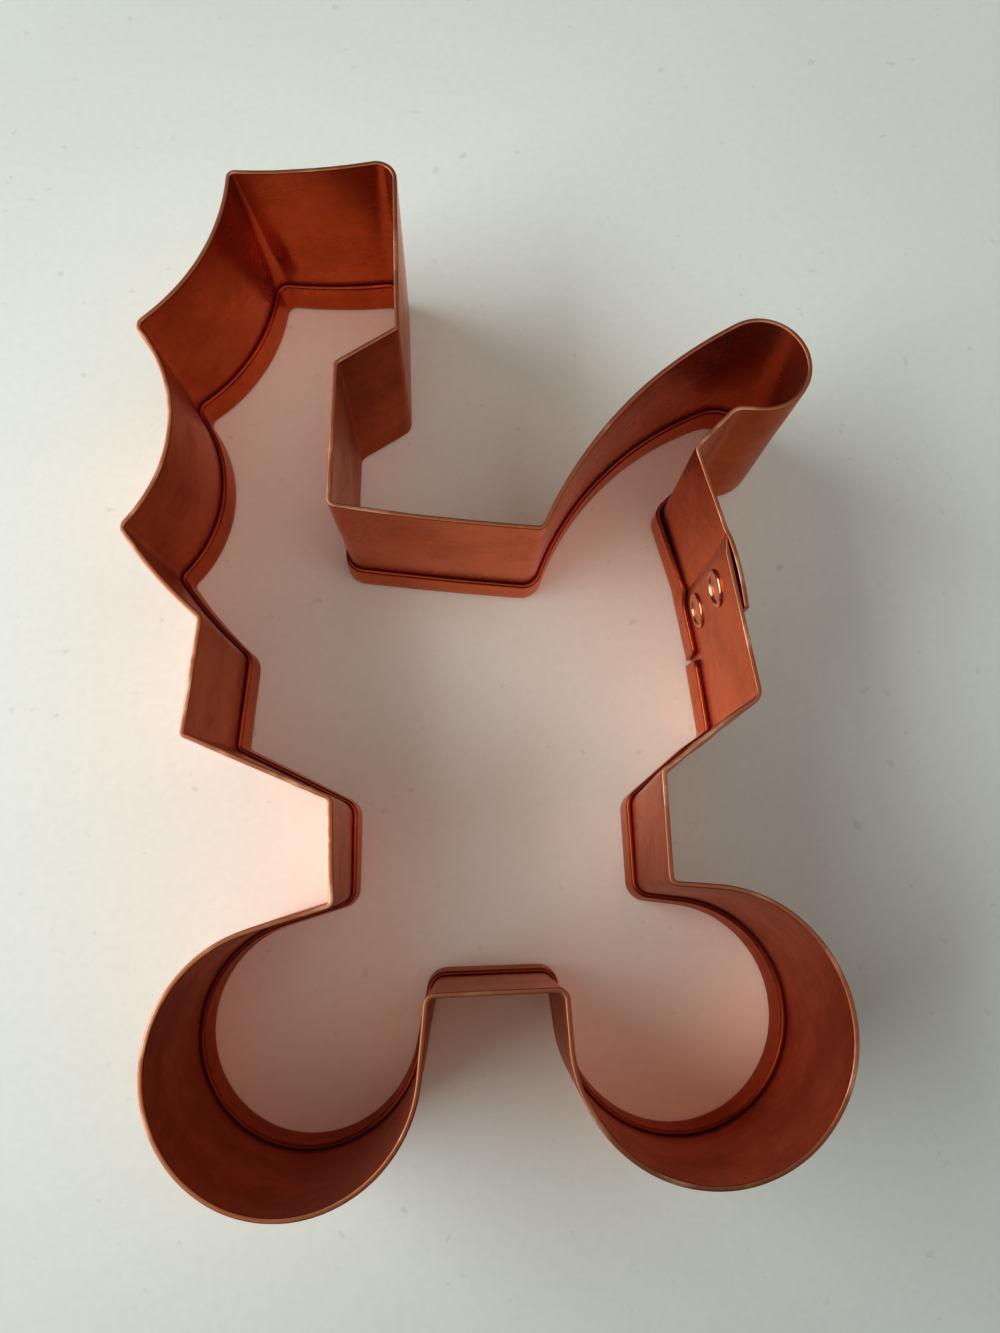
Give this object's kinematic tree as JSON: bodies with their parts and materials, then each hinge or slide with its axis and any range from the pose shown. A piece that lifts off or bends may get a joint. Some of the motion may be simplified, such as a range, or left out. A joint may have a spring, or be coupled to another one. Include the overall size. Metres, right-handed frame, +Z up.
{
  "type": "cookie cutter",
  "caption": "Pram-outline cookie cutter: a hemmed copper strip bent to the shape of a baby carriage, its lapped ends held by small rivets.",
  "frame": {"origin": "on the surface that the cutter stands on, under the middle of its outline, with the hem down", "axes": "+Z up from the hem to the cutting edge, +Y from the wheels to the top of the hood, +X towards the side with the handle's tip"},
  "size_m": [0.072, 0.1075, 0.0254],
  "materials": {
    "copper_sheet": "bright copper sheet, lightly worn",
    "copper_rivet": "bright copper, lightly worn"
  },
  "bodies": {
    "root": {"copper_band": "copper_sheet", "upper_rivet": "copper_rivet", "lower_rivet": "copper_rivet"}
  },
  "joints": []
}
